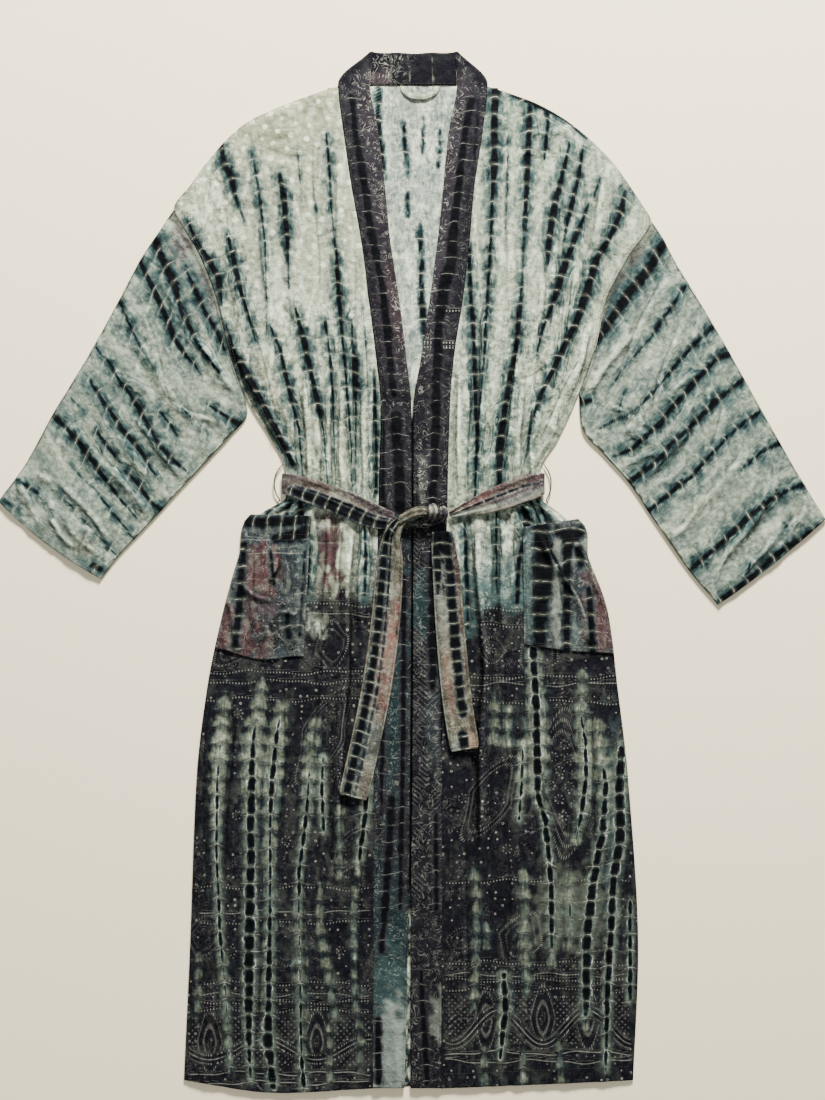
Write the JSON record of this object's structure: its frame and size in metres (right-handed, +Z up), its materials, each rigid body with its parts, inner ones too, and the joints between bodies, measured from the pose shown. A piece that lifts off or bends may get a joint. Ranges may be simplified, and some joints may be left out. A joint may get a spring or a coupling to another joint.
{
  "type": "kimono robe",
  "caption": "Knee-length tie-dyed kimono robe laid flat on its back, with wide sleeves, a shawl neckband, patch pockets and a knotted belt.",
  "frame": {"origin": "centre of the robe's outline on the surface it lies on", "axes": "+Z up off the surface, out of the robe's front; +Y from the hem to the neck; +X to the wearer's left"},
  "size_m": [0.974, 1.2267, 0.0246],
  "materials": {
    "light_cloth": "sage cloth, mottled, with a soft sheen",
    "inside_cloth": "paler wrong side of the cloth",
    "dark_cloth": "charcoal cloth with a soft sheen",
    "plum_cloth": "mauve and charcoal cloth",
    "belt_cloth": "black and mauve cloth",
    "thread": "matte chained thread"
  },
  "bodies": {
    "root": {"back": "inside_cloth", "belt_back": "belt_cloth", "belt_knot": "belt_cloth", "belt_left": "belt_cloth", "belt_loop_left": "thread", "belt_loop_right": "thread", "belt_right": "belt_cloth", "belt_tail_left": "belt_cloth", "belt_tail_right": "belt_cloth", "front_left": "light_cloth", "front_right": "light_cloth", "hanger_loop": "light_cloth", "neckband_back": "dark_cloth", "neckband_left": "dark_cloth", "neckband_right": "dark_cloth", "pocket_left": "plum_cloth", "pocket_right": "plum_cloth", "sleeve_left": "light_cloth", "sleeve_right": "light_cloth"}
  },
  "joints": []
}
